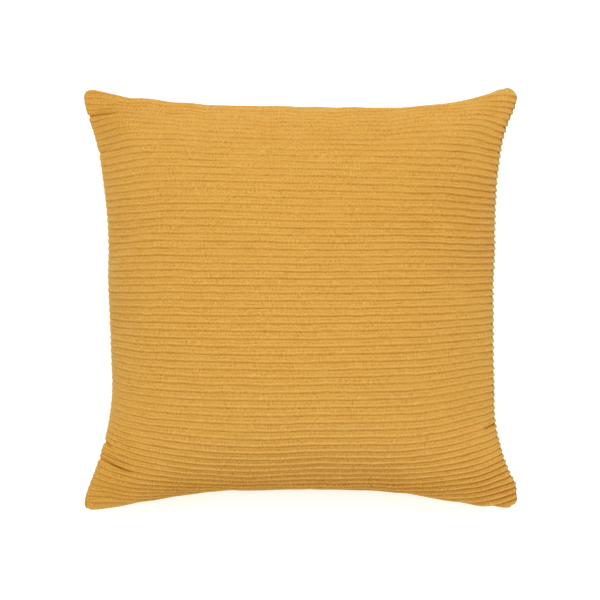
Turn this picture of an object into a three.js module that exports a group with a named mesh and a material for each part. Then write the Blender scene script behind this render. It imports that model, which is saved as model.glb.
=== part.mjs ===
import * as THREE from 'three';

// Square cushion cover in a ribbed cloth, filled, lying on its back with its face up.
// Millimetres, +Z up. The ribs run along X and repeat along Y, +Y being the top of the face.
// The origin is the middle of the footprint, on the surface that the back lies on.

// Driving sizes
const ribCount = 65; // from the top seam to the bottom seam, alike on the face and the back
const ribRise = 0.9; // of a crest over the mean cloth, and of the mean cloth over a groove
const firstGroove = 0.8; // ribs between the top seam and the first groove
const crestPlace = 0.6; // of a rib, from its upper groove to its crest
const halfWidth = 216; // from the middle to the corner tips along X
const halfDepth = 211.5; // from the middle to the corner tips along Y
const waist = 191; // from the middle to the drawn-in middle of a side
const faceCrown = 78; // of the face over the widest line
const backCrown = 95; // of the back under the widest line, before it is pressed flat
const widestHeight = 64; // of the widest line over the surface
const pressStart = 1.3; // times widestHeight: a free back deeper than this lies flat
const earThinning = 0.3; // share of the thickness that a corner lacks
const tipRounding = 3; // by which a corner tip falls short of a sharp corner
const seamTuck = 1.6; // depth of the sewn seam below the cloth beside it
const ribFade = 6; // height over the surface in which the pressed ribs come back

// How the cloth lies between its seams
const ribSpread = 0.022; // share by which the ribs at the middle stand wider apart
const ribDrop = 0.023; // share of half the cloth by which the middle rib lies low
const pastWidest = { left: 3, right: -8, top: -3, bottom: 39 }; // face cloth beyond the widest line

// How far each side is drawn in from the line through its corners.
// at runs from -1 to 1: bottom to top on the left and right, left to right on the top and bottom.
const drawnIn = {
  left: [
    { at: -1, by: 0 },
    { at: -0.9, by: 4 },
    { at: -0.76, by: 14 },
    { at: -0.55, by: 25 },
    { at: -0.25, by: 28 },
    { at: 0.1, by: 26 },
    { at: 0.4, by: 23 },
    { at: 0.6, by: 18.5 },
    { at: 0.78, by: 10.5 },
    { at: 0.93, by: 2 },
    { at: 1, by: 0 },
  ],
  right: [
    { at: -1, by: 3 },
    { at: -0.92, by: 1.5 },
    { at: -0.78, by: 11 },
    { at: -0.6, by: 20 },
    { at: -0.3, by: 24 },
    { at: 0.05, by: 24.5 },
    { at: 0.36, by: 23 },
    { at: 0.58, by: 19 },
    { at: 0.77, by: 12.5 },
    { at: 0.93, by: 2 },
    { at: 1, by: 0 },
  ],
  top: [
    { at: -1, by: 0 },
    { at: -0.88, by: 4 },
    { at: -0.78, by: 10 },
    { at: -0.63, by: 12 },
    { at: -0.4, by: 16 },
    { at: 0, by: 18 },
    { at: 0.4, by: 19 },
    { at: 0.63, by: 15 },
    { at: 0.76, by: 11.5 },
    { at: 0.92, by: 2.5 },
    { at: 1, by: 0 },
  ],
  bottom: [
    { at: -1, by: 0 },
    { at: -0.88, by: 3 },
    { at: -0.75, by: 7.5 },
    { at: -0.6, by: 13 },
    { at: -0.4, by: 18.5 },
    { at: 0, by: 21 },
    { at: 0.35, by: 19.5 },
    { at: 0.6, by: 13 },
    { at: 0.78, by: 7 },
    { at: 0.92, by: 2.5 },
    { at: 1, by: 1 },
  ],
};

// Creases in the face near its corners: soft troughs that follow a rib over part of its length.
// rib counts from the top seam, from and to run from -1 (left seam) to 1 (right seam).
const creases = [
  { rib: 3.8, from: -1, to: -0.8, depth: 3.4, breadth: 0.7 },
  { rib: 1.8, from: -0.98, to: -0.74, depth: 2.2, breadth: 0.9 },
  { rib: 55.8, from: -0.99, to: -0.76, depth: 3.4, breadth: 0.7 },
  { rib: 52.8, from: -1, to: -0.88, depth: 2, breadth: 0.6 },
  { rib: 49.8, from: 0.87, to: 1, depth: 3, breadth: 0.6 },
];

// Steps of the mesh
const columnsAcross = 20; // evenly spread, but closer together near the sides
const columnCrowding = 0.35; // 0 spreads them evenly
const besideSeam = 0.985; // place of the extra column next to each side seam
const tipSharpness = 60; // power that keeps the rounding of a tip to a few millimetres

const quarter = Math.PI / 2;

// A smooth curve through the rows of a table, with each row's slope taken from its neighbours.
function lookUp(table, at) {
  const last = table.length - 1;
  let i = 0;
  while (i < last - 1 && at > table[i + 1].at) i += 1;
  const slope = (k) => {
    const a = table[Math.max(k - 1, 0)];
    const b = table[Math.min(k + 1, last)];
    return (b.by - a.by) / (b.at - a.at);
  };
  const width = table[i + 1].at - table[i].at;
  const t = THREE.MathUtils.clamp((at - table[i].at) / width, 0, 1);
  const s = 1 - t;
  return (
    (1 + 2 * t) * s * s * table[i].by +
    t * s * s * width * slope(i) +
    t * t * (3 - 2 * t) * table[i + 1].by -
    t * t * s * width * slope(i + 1)
  );
}

// Length along an ellipse of half width 1 and the given height, from its crown to an angle.
function arcLength(angle, height) {
  const steps = 24;
  let sum = 0;
  for (let k = 0; k < steps; k += 1) {
    const a = (angle * (k + 0.5)) / steps;
    sum += Math.hypot(Math.cos(a), height * Math.sin(a));
  }
  return (sum * angle) / steps;
}

// The angle at which that length is reached, found with ever smaller steps up and down.
function angleAt(length, height) {
  let angle = 0;
  let step = quarter;
  for (let k = 0; k < 40; k += 1) {
    angle += arcLength(angle, height) < length ? step : -step;
    step *= 0.6;
  }
  return angle;
}

const middleHeight = faceCrown / waist;
const middleArc = arcLength(quarter, middleHeight);

// Share of the crown's height that is left above a place on one of the two middle lines.
function crownShare(place) {
  return Math.max(Math.cos(angleAt(Math.abs(place) * middleArc, middleHeight)), 0);
}

// Angles of a point of the cloth round the two ellipses. u runs along the ribs and v across them,
// from seam to seam. facing is 1 on the face and -1 on the back, whose cloth stops where the face's does.
function clothAngles(u, v, facing) {
  const shareU = crownShare(u);
  const shareV = crownShare(v);
  const heightX = middleHeight * shareV;
  const sideSlack = (facing * shareV * (u > 0 ? pastWidest.right : pastWidest.left)) / waist;
  const across = angleAt(u * (arcLength(quarter, heightX) + sideSlack), heightX);
  const heightY = middleHeight * shareU;
  const arcY = arcLength(quarter, heightY);
  const low = -arcY - (facing * shareU * pastWidest.bottom) / waist;
  const high = arcY + (facing * shareU * pastWidest.top) / waist;
  const even = v + (ribSpread * v - ribDrop) * (1 - v * v);
  const along = angleAt(low + ((even + 1) / 2) * (high - low), heightY);
  return { across, along };
}

// Depth of the back below the widest line, pressed flat by the surface.
function pressed(free) {
  const share = free / (widestHeight * pressStart);
  return share >= 1 ? widestHeight : widestHeight * (1 - (1 - share) ** pressStart);
}

// A point of the smooth cloth, before its ribs.
function clothPoint(u, v, facing) {
  const { across, along } = clothAngles(u, v, facing);
  const p = Math.sin(across);
  const q = Math.sin(along);
  const left = -halfWidth + lookUp(drawnIn.left, q);
  const right = halfWidth - lookUp(drawnIn.right, q);
  const bottom = -halfDepth + lookUp(drawnIn.bottom, p);
  const top = halfDepth - lookUp(drawnIn.top, p);
  const tip = tipRounding * Math.abs(u * v) ** tipSharpness;
  const x = THREE.MathUtils.lerp(left, right, (p + 1) / 2) - Math.sign(u) * tip;
  const y = THREE.MathUtils.lerp(bottom, top, (q + 1) / 2) - Math.sign(v) * tip;
  const bothCos = Math.cos(across) * Math.cos(along);
  const beyond = Math.cos(across) < 0 || Math.cos(along) < 0;
  const height = Math.abs(bothCos) * (1 - earThinning * (p * q) ** 2);
  const upper = facing > 0 !== beyond;
  const z = widestHeight + (upper ? faceCrown * height : -pressed(backCrown * height));
  return new THREE.Vector3(x, y, z);
}

// Outward direction of the smooth cloth, from the points just beside.
function clothNormal(u, v, facing) {
  const near = 0.004;
  const inside = (value) => THREE.MathUtils.clamp(value, -1 + near, 1 - near);
  const a = inside(u);
  const b = inside(v);
  const alongU = clothPoint(a + near, b, facing).sub(clothPoint(a - near, b, facing));
  const alongV = clothPoint(a, b + near, facing).sub(clothPoint(a, b - near, facing));
  return alongU.cross(alongV).multiplyScalar(facing).normalize();
}

// Depth of the creases at a place of the face.
function creaseDepth(u, rib) {
  let depth = 0;
  for (const crease of creases) {
    const middle = (crease.from + crease.to) / 2;
    const reach = (crease.to - crease.from) / 2;
    const alongIt = Math.abs(u - middle) / reach;
    const acrossIt = (rib - crease.rib) / crease.breadth;
    if (alongIt < 1) depth += crease.depth * (1 - alongIt ** 2) * Math.exp(-acrossIt * acrossIt);
  }
  return depth;
}

// Rows of the mesh: the two seams, and between them each groove and each crest.
const rows = [{ rib: 0, rise: 0 }];
for (let groove = firstGroove; groove < ribCount - crestPlace; groove += 1) {
  rows.push({ rib: groove, rise: -ribRise });
  rows.push({ rib: groove + crestPlace, rise: ribRise });
}
rows.push({ rib: ribCount, rise: 0 });

// Columns of the mesh, from the left seam to the right one.
const columns = [];
for (let k = 0; k <= columnsAcross; k += 1) {
  const t = (2 * k) / columnsAcross - 1;
  columns.push((1 - columnCrowding) * t + columnCrowding * Math.sin(quarter * t));
}
columns.splice(1, 0, -besideSeam);
columns.splice(columns.length - 1, 0, besideSeam);

// One vertex: the smooth cloth with its rib, its creases, and the tuck at the seams.
function vertexAt(u, row, facing) {
  const v = 1 - (2 * row.rib) / ribCount;
  const point = clothPoint(u, v, facing);
  const onSide = Math.abs(u) === 1;
  const onEnd = Math.abs(v) === 1;
  if (onSide || onEnd) {
    if (onSide) point.x -= u * seamTuck * (1 - Math.abs(v) ** tipSharpness);
    if (onEnd) point.y -= v * seamTuck * (1 - Math.abs(u) ** tipSharpness);
    return point;
  }
  const lifted = THREE.MathUtils.smoothstep(point.z, 0, ribFade);
  const rise = row.rise * lifted - (facing > 0 ? creaseDepth(u, row.rib) : 0);
  point.addScaledVector(clothNormal(u, v, facing), rise);
  point.z = Math.max(point.z, 0);
  return point;
}

// The whole cushion as one closed surface: the face, and the back on the same seam vertices.
function cushionGeometry() {
  const positions = [];
  const indices = [];
  const lastRow = rows.length - 1;
  const lastColumn = columns.length - 1;
  const addVertex = (i, j, facing) => {
    positions.push(...vertexAt(columns[j], rows[i], facing).toArray());
    return positions.length / 3 - 1;
  };
  const face = rows.map((row, i) => columns.map((u, j) => addVertex(i, j, 1)));
  const onSeam = (i, j) => i === 0 || j === 0 || i === lastRow || j === lastColumn;
  const back = rows.map((row, i) =>
    columns.map((u, j) => (onSeam(i, j) ? face[i][j] : addVertex(i, j, -1))),
  );
  for (let i = 0; i < lastRow; i += 1) {
    for (let j = 0; j < lastColumn; j += 1) {
      indices.push(face[i][j], face[i + 1][j], face[i + 1][j + 1]);
      indices.push(face[i][j], face[i + 1][j + 1], face[i][j + 1]);
      indices.push(back[i][j], back[i + 1][j + 1], back[i + 1][j]);
      indices.push(back[i][j], back[i][j + 1], back[i + 1][j + 1]);
    }
  }
  const geometry = new THREE.BufferGeometry();
  geometry.setAttribute('position', new THREE.Float32BufferAttribute(positions, 3));
  geometry.setIndex(indices);
  geometry.computeBoundingBox();
  const middle = geometry.boundingBox.getCenter(new THREE.Vector3());
  geometry.translate(-middle.x, -middle.y, -geometry.boundingBox.min.z);
  geometry.computeVertexNormals();
  return geometry;
}

const ribbedCotton = new THREE.MeshStandardMaterial({
  color: 0xdba34c,
  roughness: 0.92,
  metalness: 0,
});

const cushion = new THREE.Mesh(cushionGeometry(), ribbedCotton);
cushion.name = 'cushion';

const part = new THREE.Group();
part.add(cushion);

export default part;
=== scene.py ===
from functools import partial

import bpy
import numpy as np
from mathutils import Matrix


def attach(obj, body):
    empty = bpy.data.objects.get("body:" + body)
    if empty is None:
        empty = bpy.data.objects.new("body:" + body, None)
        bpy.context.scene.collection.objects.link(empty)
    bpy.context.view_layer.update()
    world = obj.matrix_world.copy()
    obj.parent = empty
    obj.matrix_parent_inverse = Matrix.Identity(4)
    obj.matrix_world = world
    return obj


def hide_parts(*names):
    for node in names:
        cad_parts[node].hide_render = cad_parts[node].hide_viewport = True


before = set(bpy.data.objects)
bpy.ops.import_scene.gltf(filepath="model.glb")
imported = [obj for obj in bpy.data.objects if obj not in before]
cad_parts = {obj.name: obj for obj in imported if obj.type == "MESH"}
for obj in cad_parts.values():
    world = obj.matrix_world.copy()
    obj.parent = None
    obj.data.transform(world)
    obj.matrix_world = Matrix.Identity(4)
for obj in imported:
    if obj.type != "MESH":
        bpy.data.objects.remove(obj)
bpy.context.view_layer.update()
print("frame loaded")

scene = bpy.context.scene
mm = 0.001

# The camera looks down at the face, leaning a little to the bottom of it
cameraSet = {
    "elevation": 82.5,  # degrees above the surface
    "distance": 4.0,  # metres to the point it looks at
    "seen": 0.6,  # metres across the picture at that point
    "lookAt": (0.0, -0.002, 0.064),
    "sensor": 36.0,  # millimetres across
    "farthest": 50.0,  # metres: more than the floor's far corners
}


def makeCamera(s):
    data = bpy.data.cameras.new("studioCamera")
    data.sensor_width = s["sensor"]
    data.lens = s["sensor"] * s["distance"] / s["seen"]
    data.clip_end = s["farthest"]
    camera = bpy.data.objects.new("studioCamera", data)
    scene.collection.objects.link(camera)
    lean = np.radians(90 - s["elevation"])
    x, y, z = s["lookAt"]
    camera.location = (x, y - s["distance"] * np.sin(lean), z + s["distance"] * np.cos(lean))
    camera.rotation_euler = (lean, 0, 0)
    return camera


scene.camera = makeCamera(cameraSet)
scene.view_settings.view_transform = "Standard"
print("camera made")


# The filled cover: sizes in millimetres, as its maker would measure them
cover = {
    "ribCount": 65,  # from the top seam to the bottom one
    "ribPitch": 6.92,  # of the flat cloth
    "firstGroove": 0.8,  # ribs between the top seam and the first groove
    "halfWidth": 217.0,  # middle to corner tips, along the ribs
    "halfDepth": 211.3,  # middle to corner tips, across the ribs
    "waist": 191.0,  # middle to the drawn-in middle of a side
    "faceCrown": 78.0,  # face over the widest line
    "backCrown": 95.0,  # back under the widest line, before it is pressed flat
    "widestHeight": 64.0,  # widest line over the surface
    "pressStart": 1.3,  # times widestHeight: a free back deeper than this lies flat
    "earThinning": 0.5,  # share of the thickness that a corner lacks
    # rounding of the corners in plan
    "tipRadius": {"topLeft": 11.5, "topRight": 10.0, "bottomLeft": 9.0, "bottomRight": 10.0},
    "evenReach": 0.22,  # of a side: how far apart the unevenness of its line evens out inside
    "evenSoon": 4.0,  # one over the share of the way across at which that is complete
    "ribSpread": 0.022,  # more of the ribs towards the top and bottom seams
    "ribDrop": 0.026,  # all ribs a little down
    "seamGrip": 0.35,  # power by which pulls end at the top and bottom seams, less is more sudden
    # cloth of each side that lies past the widest line, under the cushion
    "pastWidest": {"left": 3.0, "right": -8.0, "top": 4.0, "bottom": 32.0},
}

# How far each side is drawn in from the line through its corners: (place from -1 to 1, millimetres)
drawnIn = {
    "left": [(-1, 2.3), (-0.94, 3), (-0.9, 5.8), (-0.76, 17), (-0.64, 24.3), (-0.5, 28.7),
             (-0.4, 29.6), (-0.2, 28.3), (0.1, 25.2), (0.26, 25.7), (0.4, 24), (0.6, 18.8),
             (0.78, 9.8), (0.88, 2.6), (0.94, -1.2), (1, -1.8)],
    "right": [(-1, 0.4), (-0.9, 0.9), (-0.84, 7.2), (-0.776, 13.2), (-0.7, 18), (-0.62, 21.4),
              (-0.52, 23.2), (-0.25, 23.8), (0, 23.5), (0.36, 21.3), (0.58, 18.2), (0.74, 13),
              (0.84, 5.6), (0.93, -2.1), (1, -0.7)],
    "top": [(-1, -1.8), (-0.94, -0.4), (-0.83, 5.7), (-0.78, 8.8), (-0.72, 9.7), (-0.6, 12.8),
            (-0.54, 13.5), (-0.42, 15.8), (-0.2, 17.3), (0, 17.9), (0.2, 18.6), (0.45, 18.6),
            (0.6, 15.5), (0.72, 12.8), (0.79, 9.4), (0.86, 4), (0.94, -2.7), (1, -2.4)],
    "bottom": [(-1, -2.2), (-0.94, -0.4), (-0.78, 6), (-0.68, 10.4), (-0.55, 15.2), (-0.4, 18.9),
               (-0.2, 20.3), (0, 21.1), (0.3, 20.2), (0.4, 18.6), (0.55, 14.3), (0.7, 8.6),
               (0.86, 3.5), (0.94, 2.2), (1, 2)],
}

# Ribs pulled up (+) or down (-) the cover: shift, middle and reach of each pull, in millimetres of cloth
ribPulls = [
    {"shift": 6, "at": (-140, 145), "reach": (60, 45)},
    {"shift": 2, "at": (-150, 30), "reach": (60, 110)},
    {"shift": 9, "at": (-180, -160), "reach": (55, 35)},
    {"shift": 3, "at": (140, -20), "reach": (90, 110)},
    {"shift": -2, "at": (180, 75), "reach": (45, 40)},
    {"shift": -2, "at": (195, -150), "reach": (30, 40)},
    {"shift": -19, "at": (0, 210), "reach": (95, 50)},
    {"shift": -3, "at": (15, 75), "reach": (80, 50)},
    {"shift": -1, "at": (-10, -50), "reach": (120, 30)},
    {"shift": -7, "at": (-60, -140), "reach": (70, 50)},
    {"shift": -5, "at": (85, -130), "reach": (65, 45)},
    {"shift": 8, "at": (-175, 180), "reach": (25, 25)},
    {"shift": -8, "at": (-185, 200), "reach": (20, 30)},
    {"shift": 6, "at": (-225, 120), "reach": (40, 70)},
    {"shift": -2, "at": (-210, -105), "reach": (30, 50)},
    {"shift": 31, "at": (-135, -215), "reach": (50, 32)},
    {"shift": 14, "at": (-188, -205), "reach": (22, 28)},
    {"shift": 10, "at": (-165, -205), "reach": (25, 20)},
    {"shift": 12, "at": (145, 200), "reach": (70, 50)},
    {"shift": -13, "at": (215, 220), "reach": (35, 55)},
    {"shift": -15, "at": (190, 215), "reach": (35, 20)},
    {"shift": -5, "at": (215, -100), "reach": (25, 80)},
    {"shift": 18, "at": (155, -225), "reach": (45, 60)},
    {"shift": 5, "at": (195, -195), "reach": (20, 40)},
]

quarter = np.pi / 2


# A cubic through the rows of a table, each row's slope being that between its two neighbours
def lookUp(rows, at):
    place, value = np.array(rows, float).T
    before = np.maximum(np.arange(len(place)) - 1, 0)
    after = np.minimum(np.arange(len(place)) + 1, len(place) - 1)
    slope = (value[after] - value[before]) / (place[after] - place[before])
    i = np.clip(np.searchsorted(place, at, side="left") - 1, 0, len(place) - 2)
    width = place[i + 1] - place[i]
    t = np.clip((at - place[i]) / width, 0, 1)
    s = 1 - t
    return ((1 + 2 * t) * s * s * value[i] + t * s * s * width * slope[i]
            + t * t * (3 - 2 * t) * value[i + 1] - t * t * s * width * slope[i + 1])


# Length along an ellipse of half width 1 and this height, from its crown to an angle:
# the speed hypot(cos, height sin) summed over even steps of the angle
def arcLength(angle, height):
    steps = 24
    total = 0
    for k in range(steps):
        part = angle * (k + 0.5) / steps
        total = total + np.hypot(np.cos(part), height * np.sin(part))
    return total * angle / steps


# The angle at which that length is reached, by steps up and down that shrink
def angleAt(length, height):
    steps = 26
    shrink = 0.62
    angle = np.zeros(np.broadcast(length, height).shape)
    step = quarter
    for _ in range(steps):
        angle = angle + np.where(arcLength(angle, height) < length, step, -step)
        step *= shrink
    return angle


# The drawn-in line of a side, which evens out further in: the mean of five places on it, further apart the
# further off the side, where off is the share of the way across
def drawnAt(side, at, off, s):
    places = (-1, -0.5, 0, 0.5, 1)
    reach = s["evenReach"] * np.minimum(s["evenSoon"] * off, 1)
    return sum(lookUp(drawnIn[side], at + reach * k) for k in places) / len(places)


# The pulls: each shifts the cloth by its amount times a bell curve of the distance from its middle, and
# times (1 - v^2) to the power seamGrip
def pulled(u, v, s):
    for pull in ribPulls:
        fromX = (u * s["halfWidth"] - pull["at"][0]) / pull["reach"][0]
        fromY = (v * s["halfDepth"] - pull["at"][1]) / pull["reach"][1]
        hold = np.maximum(1 - v * v, 0) ** s["seamGrip"]
        v = v + hold * pull["shift"] / s["halfDepth"] * np.exp(-fromX ** 2 - fromY ** 2)
    return v


# A point of the smooth cloth: u runs along the ribs and v across them, from seam to seam; facing is 1 on
# the face and -1 on the back. Each line of cloth goes round an ellipse, whose height shrinks with the
# crown, by its own length, and the plan stretches that to the drawn-in sides.
def clothPoint(u, v, facing, s):
    middleHeight = s["faceCrown"] / s["waist"]
    middleArc = arcLength(quarter, middleHeight)
    shareU = np.maximum(np.cos(angleAt(np.abs(u) * middleArc, middleHeight)), 0)
    shareV = np.maximum(np.cos(angleAt(np.abs(v) * middleArc, middleHeight)), 0)
    past = {side: facing * value / s["waist"] for side, value in s["pastWidest"].items()}
    heightX = middleHeight * shareV
    across = angleAt(
        u * (arcLength(quarter, heightX) + shareV * np.where(u > 0, past["right"], past["left"])), heightX)
    heightY = middleHeight * shareU
    arcY = arcLength(quarter, heightY)
    low = -arcY - shareU * past["bottom"]
    high = arcY + shareU * past["top"]
    even = v + (s["ribSpread"] * v - s["ribDrop"]) * (1 - v * v)
    along = angleAt(low + (even + 1) / 2 * (high - low), heightY)

    p, q = np.sin(across), np.sin(along)
    left = drawnAt("left", q, (1 + p) / 2, s) - s["halfWidth"]
    right = s["halfWidth"] - drawnAt("right", q, (1 - p) / 2, s)
    bottom = drawnAt("bottom", p, (1 + q) / 2, s) - s["halfDepth"]
    top = s["halfDepth"] - drawnAt("top", p, (1 - q) / 2, s)
    # the square corners of that plan become quarter circles
    radius = np.where(q > 0, np.where(p < 0, s["tipRadius"]["topLeft"], s["tipRadius"]["topRight"]),
                      np.where(p < 0, s["tipRadius"]["bottomLeft"], s["tipRadius"]["bottomRight"]))
    a = np.clip(1 - (1 - np.abs(p)) * s["halfWidth"] / radius, 0, 1)
    b = np.clip(1 - (1 - np.abs(q)) * s["halfDepth"] / radius, 0, 1)
    x = left + (right - left) * (p + 1) / 2 - np.sign(p) * radius * a * (1 - np.sqrt(1 - b * b / 2))
    y = bottom + (top - bottom) * (q + 1) / 2 - np.sign(q) * radius * b * (1 - np.sqrt(1 - a * a / 2))
    height = np.abs(np.cos(across) * np.cos(along)) * (1 - s["earThinning"] * (p * q) ** 2)
    beyond = (np.cos(across) < 0) | (np.cos(along) < 0)
    upper = (facing > 0) != beyond
    # the back hangs free near the seams and is pressed flat by the surface further in
    share = np.minimum(s["backCrown"] * height / (s["widestHeight"] * s["pressStart"]), 1)
    down = s["widestHeight"] * (1 - (1 - share) ** s["pressStart"])
    z = s["widestHeight"] + np.where(upper, s["faceCrown"] * height, -down)
    return np.stack([x, y, z], -1)


# The cloth simulation: a coarse cover on that shape, blown up by its filling
filling = {
    "steps": 56,  # of the coarse cloth, each way
    "flatter": 0.92,  # thickness at the start, as a share
    "looser": 0.012,  # how much more cloth there is than that shape takes
    "pressure": 4.0,
    "stretch": 15.0,
    "shear": 5.0,
    "bending": 0.5,
    "mass": 0.3,  # kilograms of each point, as the solver counts it
    "frames": 20,
    "mostMoved": 5.0,  # millimetres that any point may move
    "evening": 40,  # rounds of averaging between neighbours that find what all of the cloth did alike
}


# Quads of a grid of point numbers
def quadsOf(grid):
    return np.stack([grid[:-1, :-1], grid[1:, :-1], grid[1:, 1:], grid[:-1, 1:]], -1).reshape(-1, 4)


# Blows the coarse cover up with its seams held, and returns how far each point of the two panels moves
# from the smooth cloth, in millimetres
def blowUp(s, f):
    line = np.linspace(-1, 1, f["steps"] + 1)
    u, v = np.meshgrid(line, -line)
    smooth = np.stack([clothPoint(u, v, facing, s) for facing in (1, -1)])
    start = smooth.copy()
    start[..., 2] = s["widestHeight"] + (smooth[..., 2] - s["widestHeight"]) * f["flatter"]
    face = np.arange(u.size).reshape(u.shape)
    back = face.copy()
    back[1:-1, 1:-1] = u.size + np.arange((f["steps"] - 1) ** 2).reshape(f["steps"] - 1, -1)
    points = np.concatenate([start[0].reshape(-1, 3), start[1][1:-1, 1:-1].reshape(-1, 3)]) * mm
    mesh = bpy.data.meshes.new("coarseCover")
    mesh.from_pydata(points.tolist(), [], np.concatenate([quadsOf(face), quadsOf(back)[:, ::-1]]).tolist())
    piece = bpy.data.objects.new("coarseCover", mesh)
    scene.collection.objects.link(piece)
    seams = piece.vertex_groups.new(name="seams")
    seams.add(np.unique(face[face == back]).tolist(), 1.0, "REPLACE")

    solver = piece.modifiers.new("cloth", "CLOTH")
    settings = solver.settings
    settings.use_pressure = True
    settings.uniform_pressure_force = f["pressure"]
    settings.tension_stiffness = f["stretch"]
    settings.compression_stiffness = f["stretch"]
    settings.shear_stiffness = f["shear"]
    settings.bending_stiffness = f["bending"]
    settings.mass = f["mass"]
    settings.shrink_min = -f["looser"]
    settings.shrink_max = -f["looser"]
    settings.vertex_group_mass = seams.name
    settings.effector_weights.gravity = 0
    solver.collision_settings.use_collision = False
    for step in range(1, f["frames"] + 1):
        scene.frame_set(step)
    result = piece.evaluated_get(bpy.context.evaluated_depsgraph_get())
    place = np.empty(points.size, np.float32)
    result.data.vertices.foreach_get("co", place)
    place = place.reshape(-1, 3) / mm
    scene.frame_set(1)
    bpy.data.objects.remove(piece)
    bpy.data.meshes.remove(mesh)
    moved = np.stack([place[face], place[back]]) - smooth
    # the crown stays as measured, so only the unevenness round the broad movement is kept
    broad = moved
    for _ in range(f["evening"]):
        wide = np.pad(broad, ((0, 0), (1, 1), (1, 1), (0, 0)), mode="edge")
        broad = (wide[:, :-2, 1:-1] + wide[:, 2:, 1:-1] + wide[:, 1:-1, :-2] + wide[:, 1:-1, 2:]) / 4
    moved = moved - broad
    far = np.linalg.norm(moved, axis=-1, keepdims=True)
    print("cover blown up, uneven by up to", far.max().round(1), "mm")
    return moved * np.minimum(1, f["mostMoved"] / np.maximum(far, 1e-9))


# A value between the points of a grid: its four by four neighbours under the cubic bell
# (1-t)^3/6, (3t^3-6t^2+4)/6, (1+3t+3t^2-3t^3)/6, t^3/6, which evens out what is finer than the grid
def between(values, u, v):
    count = len(values) - 1
    padded = np.pad(values, ((1, 2), (1, 2), (0, 0)), mode="edge")

    def spread(at):
        i = np.clip(at.astype(int), 0, count - 1)
        t = at - i
        return i, ((1 - t) ** 3 / 6, (3 * t ** 3 - 6 * t ** 2 + 4) / 6,
                   (1 + 3 * t + 3 * t ** 2 - 3 * t ** 3) / 6, t ** 3 / 6)

    column, columnShares = spread((u + 1) / 2 * count)
    row, rowShares = spread((1 - v) / 2 * count)
    total = 0
    for k, rowShare in enumerate(rowShares):
        for m, columnShare in enumerate(columnShares):
            total = total + (rowShare * columnShare)[..., None] * padded[row + k, column + m]
    return total


blown = blowUp(cover, filling)


# The fine cloth on that shape, in millimetres
cloth = {
    "seamHold": 12.0,  # distance from a seam at which the cloth moves freely as simulated
    "bottomHold": 190.0,  # the same from the bottom seam, whose cloth is rolled under
    "columns": 124,  # of the face, the back has half as many
    "crowding": 0.35,  # 0 spreads the columns evenly, more packs them towards the sides
    "ribRise": 0.85,  # crest over the mean cloth
    "backRise": 0.6,  # share of that on the back
    # what the grooves and the crests gain where they run into a side seam: the left one is pulled flat
    "endGain": {"left": (-1.0, -1.0), "right": (2.4, 0.5)},
    "endReach": 6.0,  # length of that
    "slackFade": 10.0,  # distance from a seam at which the ribs may stand up as ribSlack says
    "deepShade": 0.5,  # painted shade in the grooves between ribs that stand up more, as a share
    "roundFrom": (0.82, 0.92),  # share of the way down over which the ribs become round as at the sides
    "seamTuck": 1.7,  # how far the seams are pulled in between the two panels
    "tuckStart": 17.0,  # distance from a tip at which they are in
    "pucker": 0.35,  # how far the stitches draw a seam in and out
    "puckerReach": 14.0,  # and how far into the cloth that goes
    "puckerStart": 30.0,  # distance from a tip at which that is full
    "puckerKnots": 13,  # chance values along a seam
    "seamPaintedShade": 0.5,  # of 1: painted shade along the seams
    "seamDotShade": 1.2,  # and how much more painted shade where a groove meets them
    "ribFade": 5.0,  # height over the surface in which the pressed ribs come back
    "lineWander": 0.4,  # how far a rib's line strays
    "wanderKnots": ((0.6, 40), (0.8, 14)),  # share of that, and chance values along the rib
    "wanderEnd": 20,  # power of u by which lines stop straying at the side seams
    "wanderRibs": 1.5,  # ribs from the top and bottom seams within which they stop
    "heftWander": 0.18,  # share by which a rib's rise changes along it
    "heftKnots": 24,
    "sideSection": 4,  # power of u by which the ribs take on their section near the sides
    "rowGap": 0.12,  # share of a rib that rows keep clear of the top and bottom seams
    "seed": 7,
}

# Section of one rib, from its upper groove to its lower one: (share of the rib, share of the rise in the
# middle of the cushion, the same near the side seams)
ribSection = [(0, -1, -1), (0.1, -0.6, -0.72), (0.26, -0.24, -0.4), (0.4, -0.5, -0.2), (0.5, -0.4, 0.25),
              (0.61, 0.35, 0.85), (0.73, 1.0, 1.0), (0.84, 0.65, 0.5), (0.93, -0.3, -0.4)]

# Where the face's ribs stand up more than elsewhere, or less where the cloth is taut: share gained, middle
# and reach in the plan, in millimetres
ribSlack = [
    {"share": -0.28, "at": (0, -105), "reach": (260, 45)},
    {"share": 1.4, "at": (20, -200), "reach": (160, 34)},
    {"share": 0.22, "at": (110, 75), "reach": (55, 45)},
    {"share": 0.25, "at": (60, 165), "reach": (80, 22)},
    {"share": -0.15, "at": (-30, -45), "reach": (95, 28)},
    {"share": -0.4, "at": (-185, -110), "reach": (45, 60)},
    {"share": 0.4, "at": (195, 90), "reach": (60, 80)},
    {"share": -0.12, "at": (-140, 150), "reach": (90, 35)},
    {"share": 0.6, "at": (200, -195), "reach": (35, 30)},
    {"share": -0.45, "at": (-195, -188), "reach": (38, 30)},
]
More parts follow.
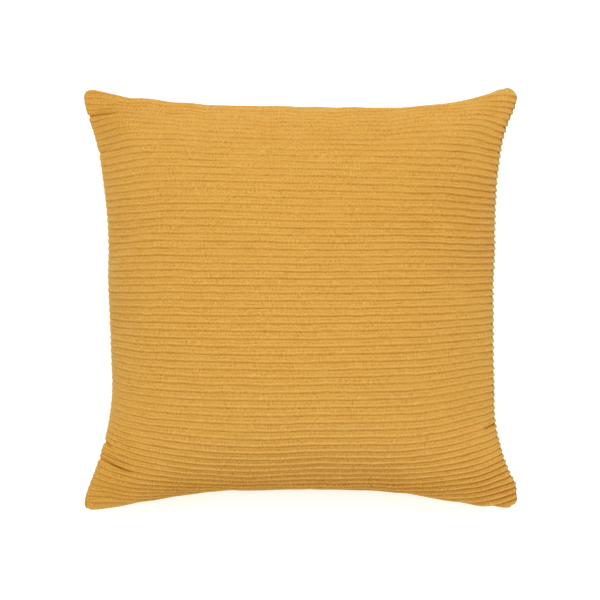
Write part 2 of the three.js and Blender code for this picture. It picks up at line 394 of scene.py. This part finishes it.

# Creases of the face: ends in the plan, depth, breadth and bow, in millimetres, and the painted shade that
# darkens them. Those without depth only carry painted shade on a broad strip of cloth, or painted light where
# that value is below 0
creases = [
    {"ends": ((-222, 182.5), (-178, 187.5)), "depth": 3.2, "breadth": 1.6, "bow": -0.5, "closed": 0.8},
    {"ends": ((-204, 198), (-188, 194.5)), "depth": 1.2, "breadth": 2.0, "bow": -0.5},
    {"ends": ((-186, 201), (-168, 196.5)), "depth": 1.8, "breadth": 2.5},
    {"ends": ((-206, 146), (-188, 149.5)), "depth": 2.0, "breadth": 1.7, "closed": 0.5},
    {"ends": ((-203, -158), (-164, -178)), "depth": 3.2, "breadth": 1.6, "bow": 1.5, "closed": 0.9},
    {"ends": ((-199, -155), (-168, -169)), "depth": 1.8, "breadth": 1.5, "bow": 0.8, "closed": 0.35},
    {"ends": ((-197, -141), (-187, -152)), "depth": 2.4, "breadth": 2.0, "closed": 0.4},
    {"ends": ((182, -134), (201, -124)), "depth": 3.0, "breadth": 2.0, "closed": 0.5},
    # the rows without depth are painted shade on broad strips, or painted light where the last value is below
    # 0
    {"ends": ((-235, -230), (-160, -145)), "depth": 0, "breadth": 50.0, "closed": 0.16},
    {"ends": ((-235, 225), (-170, 150)), "depth": 0, "breadth": 40.0, "closed": 0.12},
    {"ends": ((-190, 190), (300, 190)), "depth": 0, "breadth": 100.0, "closed": -0.14},
    {"ends": ((-184, -170), (-184, 130)), "depth": 0, "breadth": 40.0, "closed": 0.07},
    {"ends": ((-170, -164), (260, -164)), "depth": 0, "breadth": 90.0, "closed": -0.09},
    {"ends": ((-210, -191), (210, -191)), "depth": 0, "breadth": 14.0, "closed": 0.22},
]


# Smooth chance values for each rib along its length: random knots joined by cosines
def strands(rng, count, at, knots):
    values = rng.normal(size=(count, knots + 2))
    place = (at + 1) / 2 * knots
    i = np.clip(place.astype(int), 0, knots)
    t = (1 - np.cos(np.pi * (place - i))) / 2
    return values[:, i] * (1 - t) + values[:, i + 1] * t


# Rows of the cloth: rib counted from the top seam, share of the rise in the middle and near the sides, and
# the number of the rib
def ribRows(s, c):
    phase, middle, side = np.array(ribSection).T
    groove = s["firstGroove"] + np.arange(-1, s["ribCount"])
    rib = (groove[:, None] + phase).ravel()
    lift = np.tile([middle, side], len(groove))
    number = np.repeat(np.arange(len(groove)), len(phase))
    inside = (rib > c["rowGap"]) & (rib < s["ribCount"] - c["rowGap"])
    seam = np.zeros((2, 1))
    return (np.r_[0, rib[inside], s["ribCount"]], np.hstack([seam, lift[:, inside], seam]),
            np.r_[0, number[inside], len(groove) - 1])


# Troughs across the plan: depth times a bell curve across it, fading to nothing at both ends by 1 - |2t -
# 1|^3, its line bent by bow 4 t (1 - t); and their painted shade, painted light below 0, by a bell curve half
# as broad
def creaseDepth(x, y):
    depth = np.zeros(x.shape)
    hollow = np.zeros(x.shape)
    for crease in creases:
        start, end = np.array(crease["ends"], float)
        run = end - start
        length = np.hypot(*run)
        alongIt = ((x - start[0]) * run[0] + (y - start[1]) * run[1]) / length ** 2
        acrossIt = ((x - start[0]) * run[1] - (y - start[1]) * run[0]) / length
        acrossIt = acrossIt - crease.get("bow", 0) * 4 * alongIt * (1 - alongIt)
        fade = np.clip(1 - np.abs(2 * alongIt - 1) ** 3, 0, 1)
        depth += crease["depth"] * fade * np.exp(-(acrossIt / crease["breadth"]) ** 2)
        # painted shade along each crease, painted light where its value is below 0
        hollow += crease.get("closed", 0) * fade * np.exp(-(2 * acrossIt / crease["breadth"]) ** 2)
    return depth, hollow


# What the ribs gain in rise at a place of the face: each share times a bell curve of the distance
def ribSwell(place):
    swell = 0
    for slack in ribSlack:
        away = (place[..., :2] - slack["at"]) / slack["reach"]
        swell = swell + slack["share"] * np.exp(-(away ** 2).sum(-1))
    return swell


# One panel: the smooth cloth with the simulation's unevenness, moved along its outward direction by the
# ribs, each rise times section times what it gains there, less the creases
def makePanel(facing, s, c):
    rng = np.random.default_rng(c["seed"] + (facing < 0))
    rib, lift, number = ribRows(s, c)
    t = np.linspace(-1, 1, c["columns"] + 1)
    u = (1 - c["crowding"]) * t + c["crowding"] * np.sin(quarter * t)
    low = np.clip((rib / s["ribCount"] - c["roundFrom"][0]) / np.ptp(c["roundFrom"]), 0, 1)[:, None]
    asMiddle = (1 - u ** c["sideSection"]) * (1 - low)
    lift = lift[0][:, None] * asMiddle + lift[1][:, None] * (1 - asMiddle)
    count = number.max() + 1
    wander = sum(share * strands(rng, count + 1, u, knots) for share, knots in c["wanderKnots"])
    stray = c["lineWander"] / s["ribPitch"] * (wander[number] + wander[number + 1]) / 2
    inner = np.clip(np.minimum(rib, s["ribCount"] - rib) / c["wanderRibs"], 0, 1)[:, None]
    inner = inner * (1 - u ** c["wanderEnd"])
    v = 1 - 2 * (rib[:, None] + stray * inner) / s["ribCount"]
    u = np.broadcast_to(u, v.shape)
    shifted = pulled(u, v, s)
    place = clothPoint(u, shifted, facing, s)
    fromSeam = np.minimum((1 - np.abs(u)) * s["halfWidth"], (1 - np.abs(v)) * s["halfDepth"])
    free = np.clip(place[..., 2] / c["ribFade"], 0, 1)
    free = free * free * (3 - 2 * free)
    rolled = np.clip((1 + v) * s["halfDepth"] / c["bottomHold"], 0, 1)
    loose = free * np.clip(fromSeam / c["seamHold"], 0, 1) * rolled * rolled * (3 - 2 * rolled)
    place = place + loose[..., None] * between(blown[0 if facing > 0 else 1], u, shifted)

    toRight = np.gradient(place, axis=1)
    toTop = -np.gradient(place, axis=0)
    normal = np.cross(toRight, toTop) * facing
    normal /= np.maximum(np.linalg.norm(normal, axis=-1, keepdims=True), 1e-9)
    heft = 1 + c["heftWander"] * strands(rng, count + 1, u[0], c["heftKnots"])[number]
    end = (1 - np.abs(u)) * s["halfWidth"] / c["endReach"]
    onRight, onLeft = (np.reshape(c["endGain"][side], (2, 1, 1)) for side in ("right", "left"))
    grooveGain, crestGain = np.where(u > 0, onRight, onLeft)
    gain = 1 + np.exp(-end) * np.where(lift < 0, grooveGain, crestGain)
    raised = c["ribRise"] * lift * heft * gain * free
    hollow = np.zeros(v.shape)
    if facing > 0:
        swell = ribSwell(place) * np.clip(fromSeam / c["slackFade"], 0, 1)
        depth, hollow = creaseDepth(place[..., 0], place[..., 1])
        raised = raised * (1 + swell) - depth
        # painted shade in the grooves where the ribs stand up more
        hollow = hollow + c["deepShade"] * np.clip(-lift, 0, 1) * np.clip(swell, 0, 1)
    else:
        raised = raised * c["backRise"]
    raised[[0, -1]] = 0
    raised[:, [0, -1]] = 0
    place = place + normal * raised[..., None]
    # the seams run in a small valley between the panels, which ends at the tips
    fromTipX = (1 - np.abs(u)) * s["halfWidth"]
    fromTipY = (1 - np.abs(v)) * s["halfDepth"]
    tuck = c["seamTuck"] * np.clip(np.stack([fromTipY, fromTipX], -1) / c["tuckStart"], 0, 1) ** 2
    place[:, [0, -1], 0] -= (np.sign(u) * tuck[..., 0])[:, [0, -1]]
    place[[0, -1], :, 1] -= (np.sign(v) * tuck[..., 1])[[0, -1]]
    # stitches draw the seams in and out, alike on both panels
    stitches = np.random.default_rng(c["seed"] + 2)
    sides = strands(stitches, 2, v[:, 0], c["puckerKnots"]) * np.clip(fromTipY[:, 0] / c["puckerStart"], 0, 1)
    ends = strands(stitches, 2, u[0], c["puckerKnots"]) * np.clip(fromTipX[0] / c["puckerStart"], 0, 1)
    drawnX = np.where(u < 0, sides[0][:, None], sides[1][:, None])
    drawnY = np.where(v < 0, ends[0], ends[1])
    place[..., 0] += c["pucker"] * drawnX * np.exp(-fromTipX / c["puckerReach"])
    place[..., 1] += c["pucker"] * drawnY * np.exp(-fromTipY / c["puckerReach"])
    place[..., 2] = np.maximum(place[..., 2], 0)
    # painted shade along the seams, more where a groove meets them, fading towards the tips
    shade = c["seamPaintedShade"] + c["seamDotShade"] * np.clip(-lift, 0, 1)
    hollow[[0, -1]] = (shade * tuck[..., 1] / c["seamTuck"])[[0, -1]]
    hollow[:, [0, -1]] = (shade * tuck[..., 0] / c["seamTuck"])[:, [0, -1]]
    return place, u, rib, hollow


# Both panels, sewn: they share the points of the seams, and the back uses every second column
def makeCushion(s, c):
    face, u, rib, facePaintedShade = makePanel(1, s, c)
    back, _, _, backPaintedShade = makePanel(-1, s, c)
    rows, columns = u.shape
    grid = np.arange(rows * columns).reshape(rows, columns)
    backPoint = grid.copy()
    ownPoints = np.arange((rows - 2) * (columns // 2 - 1)).reshape(rows - 2, -1)
    backPoint[1:-1, 2:-2:2] = rows * columns + ownPoints
    points = np.concatenate([face.reshape(-1, 3), back[1:-1, 2:-2:2].reshape(-1, 3)]) * mm

    faceQuads = quadsOf(grid)
    backQuads = quadsOf(grid[1:-1, ::2])[:, ::-1]
    tris = []
    for seam, row, turn in ((grid[0], grid[1], 1), (grid[-1], grid[-2], -1)):
        a, b, d = seam[:-2:2], seam[1:-1:2], seam[2::2]
        e, f = row[:-2:2], row[2::2]
        for corners in ((a, b, e), (b, f, e), (b, d, f)):
            tris.append(np.stack(corners[::turn], -1))
    backTris = np.concatenate(tris)

    # loops hold a place of the grid, and on the back that place leads to the back's own point
    gridLoops = np.concatenate([faceQuads.ravel(), backQuads.ravel(), backTris.ravel()])
    onBack = np.arange(len(gridLoops)) >= faceQuads.size
    corners = np.where(onBack, backPoint.ravel()[gridLoops], gridLoops)
    sizes = np.r_[np.full(len(faceQuads) + len(backQuads), 4), np.full(len(backTris), 3)]

    mesh = bpy.data.meshes.new("ribbedCushion")
    mesh.vertices.add(len(points))
    mesh.vertices.foreach_set("co", points.ravel())
    mesh.loops.add(len(corners))
    mesh.loops.foreach_set("vertex_index", corners)
    mesh.polygons.add(len(sizes))
    mesh.polygons.foreach_set("loop_start", np.cumsum(sizes) - sizes)
    mesh.polygons.foreach_set("use_smooth", np.ones(len(sizes), bool))
    mesh.update(calc_edges=True)

    # weave: metres of cloth along and across the ribs, the back beside the face; OFBake: both side by side
    apart = 0.5
    margin = 0.01
    row, column = gridLoops // columns, gridLoops % columns
    uAt, ribAt = u[0][column], rib[row]
    flatWidth = s["ribCount"] * s["ribPitch"] * mm
    weave = np.stack([(uAt + 1) / 2 * flatWidth + onBack * apart, ribAt * s["ribPitch"] * mm], -1)
    bake = np.stack([margin + (0.5 - 2 * margin) * column / (columns - 1) + onBack * 0.5,
                     margin + (1 - 2 * margin) * row / (rows - 1)], -1)
    for name, at in (("weave", weave), ("OFBake", bake)):
        mesh.uv_layers.new(name=name).uv.foreach_set("vector", at.ravel().astype(np.float32))
    # the painted shade: 0 on open cloth, up to 1 down a crease, in grooves and along the seams, and below 0
    # painted light where the light is fullest
    hollow = np.concatenate([facePaintedShade.ravel(), backPaintedShade[1:-1, 2:-2:2].ravel()])
    mesh.attributes.new("hollow", "FLOAT", "POINT").data.foreach_set("value", hollow.astype(np.float32))
    mesh.validate()
    piece = bpy.data.objects.new("ribbedCushion", mesh)
    scene.collection.objects.link(piece)
    print("cushion made:", len(points), "points,", int((sizes - 2).sum()), "triangles")
    return piece


cushion = makeCushion(cover, cloth)


# sRGB hex to linear
def colour(hexCode):
    parts = np.array([int(hexCode[k:k + 2], 16) for k in (1, 3, 5)]) / 255
    linear = np.where(parts <= 0.04045, parts / 12.92, ((parts + 0.055) / 1.055) ** 2.4)
    return (*linear.tolist(), 1.0)


# Adds a node: settings are choices of its own, and each input takes a value, a socket or a node, which
# stands for its first output
def addNode(tree, kind, settings, inputs):
    node = tree.nodes.new("ShaderNode" + kind)
    for name, value in settings.items():
        setattr(node, name, value)
    for name, value in inputs.items():
        if isinstance(value, bpy.types.Node):
            value = value.outputs[0]
        if isinstance(value, bpy.types.NodeSocket):
            tree.links.new(value, node.inputs[name])
        else:
            node.inputs[name].default_value = value
    return node


def newMaterial(name):
    material = bpy.data.materials.new(name)
    material.use_nodes = True
    material.node_tree.nodes.clear()
    return material, material.node_tree


weaveSet = {
    "groove": "#ac6f14",  # the dark dye: the colour of the painted shade in grooves, folds, creases and seams, and of the darker random tone
    "dye": "#dea749",
    "raised": "#f1bf72",  # pale fibres: the colour of the lighter random tone and slubs, of the painted highlight along the crests and of the painted light
    "yarnWidth": 2.3,  # millimetres: three yarns lie side by side in a rib
    "yarnRun": 26.0,  # how long a yarn keeps its tone
    "warpWidth": 1.5,  # millimetres: real threads stand about 0.8 apart, too fine to show
    "warpRun": 5.0,
    "grain": 1.05,  # millimetres: fibre ends, drawn coarser than they are
    "yarnTone": 0.2,  # how much of the range between the dyes each takes at most
    "warpTone": 0.42,
    "grainTone": 1.2,
    # painted shade along the bottom of each groove
    "grooveShadeTone": 0.1,
    "grooveWidth": 0.12,  # share of a rib on each side of the groove's bottom
    "between": "#fff4c4",  # painted bounce light: the tint that light keeps going from one side of a groove to the other, multiplied into the colour beside the grooves and under the painted shade
    "bounceTintReach": 0.3,  # share of a rib on each side of the groove that has it
    "bounceTintShare": 0.4,
    "paintedShadeBounce": 0.5,
    "foldShadeTone": 0.1,  # painted shade along a shallow fold halfway down the rib
    "foldPlace": 0.45,
    "foldWidth": 0.13,
    "crestHighlightTone": 0.07,  # painted highlight along the crest
    "crestPlace": 0.67,
    "crestWidth": 0.16,
    "slubTone": 0.35,
    "paintedShadeTone": 0.45,  # painted shade where cloth touches cloth, in creases, grooves and seams, and painted light where that is below 0
    # how strongly something shows from patch to patch of the cloth: size along and across the ribs in
    # millimetres, the range of chance that counts, and the factor at its ends
    "warpPatch": {"size": (18, 12), "chance": (-0.7, 0.9), "factor": (0.3, 1.4)},
    "groovePatch": {"size": (14, 5), "chance": (-1, 1), "factor": (0.8, 1.2)},
    "foldPatch": {"size": (9, 5), "chance": (-1, 1), "factor": (0.4, 1.6)},
    "slubPatch": {"size": (3.2, 1.9), "chance": (1.2, 1.6), "factor": (0, 1)},
    "roughness": 0.9,
    "specular": 0.25,
    "bumpShare": 0.6,
    "bumpDepth": 0.1,  # millimetres between threads
    "fuzzRoughness": 0.33,
    "fuzzLimits": (0.2, 0.8),  # how strong the painted shade is where the fibre ends start to go and are gone
    "fuzzShare": 0.45,
    "fuzz": "#a4ffc8",  # fibre ends seen along the cloth, paler and cooler than the dye
}


# Cotton, ribbed in the weave and piece dyed: matt, with painted shade, deeper in colour, in the grooves,
# folds, creases and seams, a painted highlight along the crests, and fibre ends that catch light at the edges
def ribbedCotton(s, pitch, firstGroove):
    material, tree = newMaterial("ribbedCotton")
    add = partial(addNode, tree)
    plus = {"operation": "ADD"}
    minus = {"operation": "SUBTRACT"}
    times = {"operation": "MULTIPLY"}
    timesPlus = {"operation": "MULTIPLY_ADD"}
    soft = {"interpolation_type": "SMOOTHSTEP"}

    # the ribs are counted across the cloth, from the first groove
    uv = add("UVMap", {"uv_map": "weave"}, {})
    across = add("SeparateXYZ", {}, {"Vector": uv}).outputs["Y"]
    rib = add("Math", {"operation": "DIVIDE"}, {0: across, 1: pitch * mm})
    rib = add("Math", minus, {0: rib, 1: firstGroove})
    # painted shade carried by the mesh, painted light where it is below 0
    hollow = add("Attribute", {"attribute_name": "hollow"}, {}).outputs["Fac"]

    # smooth chance from about -1 to 1, so many millimetres long along and across the ribs
    def uneven(alongLength, acrossLength, detail=1.0):
        scale = (1 / (alongLength * mm), 1 / (acrossLength * mm), 1)
        stretched = add("Mapping", {}, {"Vector": uv, "Scale": scale})
        noise = add("TexNoise", {"noise_dimensions": "2D"},
                    {"Vector": stretched, "Scale": 1.0, "Detail": detail}).outputs["Fac"]
        return add("Math", timesPlus, {0: noise, 1: 4.0, 2: -2.0})

    # a factor that changes softly from patch to patch
    def patches(patch, detail=1.0):
        low, high = patch["chance"]
        least, most = patch["factor"]
        return add("MapRange", soft, {"Value": uneven(*patch["size"], detail), "From Min": low,
                                      "From Max": high, "To Min": least, "To Max": most})

    # a soft line along each rib at this share of it, from 1 in its middle to 0 at this width to each side
    def lineAt(place, width):
        away = add("Math", minus, {0: rib, 1: place})
        away = add("Math", {"operation": "PINGPONG"}, {0: away, 1: 0.5})
        return add("MapRange", soft, {"Value": away, "From Min": 0.0, "From Max": width,
                                      "To Min": 1.0, "To Max": 0.0})

    yarn = uneven(s["yarnRun"], s["yarnWidth"])
    warp = uneven(s["warpWidth"], s["warpRun"])
    warp = add("Math", times, {0: warp, 1: patches(s["warpPatch"])})
    grain = uneven(s["grain"], s["grain"], detail=3.0)
    slub = patches(s["slubPatch"], detail=0.0)
    # painted shade along the bottom of each groove
    grooveShade = add("Math", times, {0: lineAt(0.0, s["grooveWidth"]), 1: patches(s["groovePatch"])})
    # painted shade along a shallow fold in each rib
    fold = add("Math", times, {0: lineAt(s["foldPlace"], s["foldWidth"]), 1: patches(s["foldPatch"])})
    # painted highlight along each crest
    crest = lineAt(s["crestPlace"], s["crestWidth"])

    # the tone runs from the dark dye at 0 to the pale fibres' at 1; the painted shade pulls it down, the
    # painted highlight and painted light up
    tone = 0.5
    for value, share in ((yarn, s["yarnTone"] / 4), (warp, s["warpTone"] / 4), (grain, s["grainTone"] / 4),
                         (grooveShade, -s["grooveShadeTone"]), (fold, -s["foldShadeTone"]), (crest, s["crestHighlightTone"]),
                         (slub, s["slubTone"]), (hollow, -s["paintedShadeTone"])):
        tone = add("Math", timesPlus, {0: value, 1: share, 2: tone})
    dyes = add("ValToRGB", {}, {"Fac": tone})
    ramp = dyes.color_ramp
    ramp.elements[0].color = colour(s["groove"])
    ramp.elements[1].color = colour(s["raised"])
    ramp.elements.new(0.5).color = colour(s["dye"])

    # painted bounce light: beside the grooves and under the painted shade the colour is multiplied by a tint,
    # deeper in colour, as light gone from cloth to cloth would be
    near = add("Math", times, {0: lineAt(0.0, s["bounceTintReach"]), 1: s["bounceTintShare"]})
    near = add("Math", timesPlus, {0: hollow, 1: s["paintedShadeBounce"], 2: near})
    bounceTinted = add("Mix", {"data_type": "RGBA", "blend_type": "MULTIPLY"},
                 {0: near, 6: dyes, 7: colour(s["between"])}).outputs[2]
    # fibre ends lie flat where cloth touches cloth: the sheen fades where the painted shade is strong
    start, end = s["fuzzLimits"]
    fuzz = add("MapRange", soft, {"Value": hollow, "From Min": start, "From Max": end,
                                  "To Min": s["fuzzShare"], "To Max": 0.0})

    threads = add("Math", plus, {0: warp, 1: yarn})
    height = add("Math", plus, {0: threads, 1: grain})
    bump = add("Bump", {}, {"Height": height, "Strength": s["bumpShare"], "Distance": s["bumpDepth"] * mm})
    surface = add("BsdfPrincipled", {}, {
        "Base Color": bounceTinted, "Roughness": s["roughness"], "Specular IOR Level": s["specular"],
        "Sheen Weight": fuzz, "Sheen Roughness": s["fuzzRoughness"], "Sheen Tint": colour(s["fuzz"]),
        "Normal": bump})
    add("OutputMaterial", {}, {"Surface": surface})
    return material


cushion.data.materials.append(ribbedCotton(weaveSet, cover["ribPitch"], cover["firstGroove"]))
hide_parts("cushion")
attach(cushion, "root")
print("cushion dressed")

# The studio, in metres: white paper, soft light all round and a long soft box over the top seam
studio = {
    "floorSize": 12.0,
    "floorColour": "#f6faff",
    "floorRoughness": 0.9,
    "floorSpecular": 0.1,
    "floorGlow": 0.45,  # the paper is lit from below as well, so that it stays white beside the cushion
    "skyStrength": 0.54,
    "keyPower": 29.5,  # watts
    "keySize": (1.0, 3.0),
    "keyPlace": (0.0, 0.55, 2.1),
}


def makeStudio(s):
    half = s["floorSize"] / 2
    mesh = bpy.data.meshes.new("studioFloor")
    corners = [(-half, -half, 0), (half, -half, 0), (half, half, 0), (-half, half, 0)]
    mesh.from_pydata(corners, [], [(0, 1, 2, 3)])
    floor = bpy.data.objects.new("studioFloor", mesh)
    scene.collection.objects.link(floor)
    material, tree = newMaterial("mattPaperFloor")
    surface = addNode(tree, "BsdfPrincipled", {}, {
        "Base Color": colour(s["floorColour"]), "Roughness": s["floorRoughness"],
        "Specular IOR Level": s["floorSpecular"], "Emission Color": (1, 1, 1, 1),
        "Emission Strength": s["floorGlow"]})
    addNode(tree, "OutputMaterial", {}, {"Surface": surface})
    mesh.materials.append(material)
    world = bpy.data.worlds.new("studioWorld")
    world.use_nodes = True
    background = world.node_tree.nodes["Background"]
    background.inputs["Color"].default_value = (1, 1, 1, 1)
    background.inputs["Strength"].default_value = s["skyStrength"]
    scene.world = world
    light = bpy.data.lights.new("softBox", "AREA")
    light.shape = "RECTANGLE"
    light.size, light.size_y = s["keySize"]
    light.energy = s["keyPower"]
    lamp = bpy.data.objects.new("softBox", light)
    scene.collection.objects.link(lamp)
    lamp.location = s["keyPlace"]
    _, y, z = s["keyPlace"]
    lamp.rotation_euler = (-np.arctan2(y, z), 0, 0)
    print("studio lit")


makeStudio(studio)
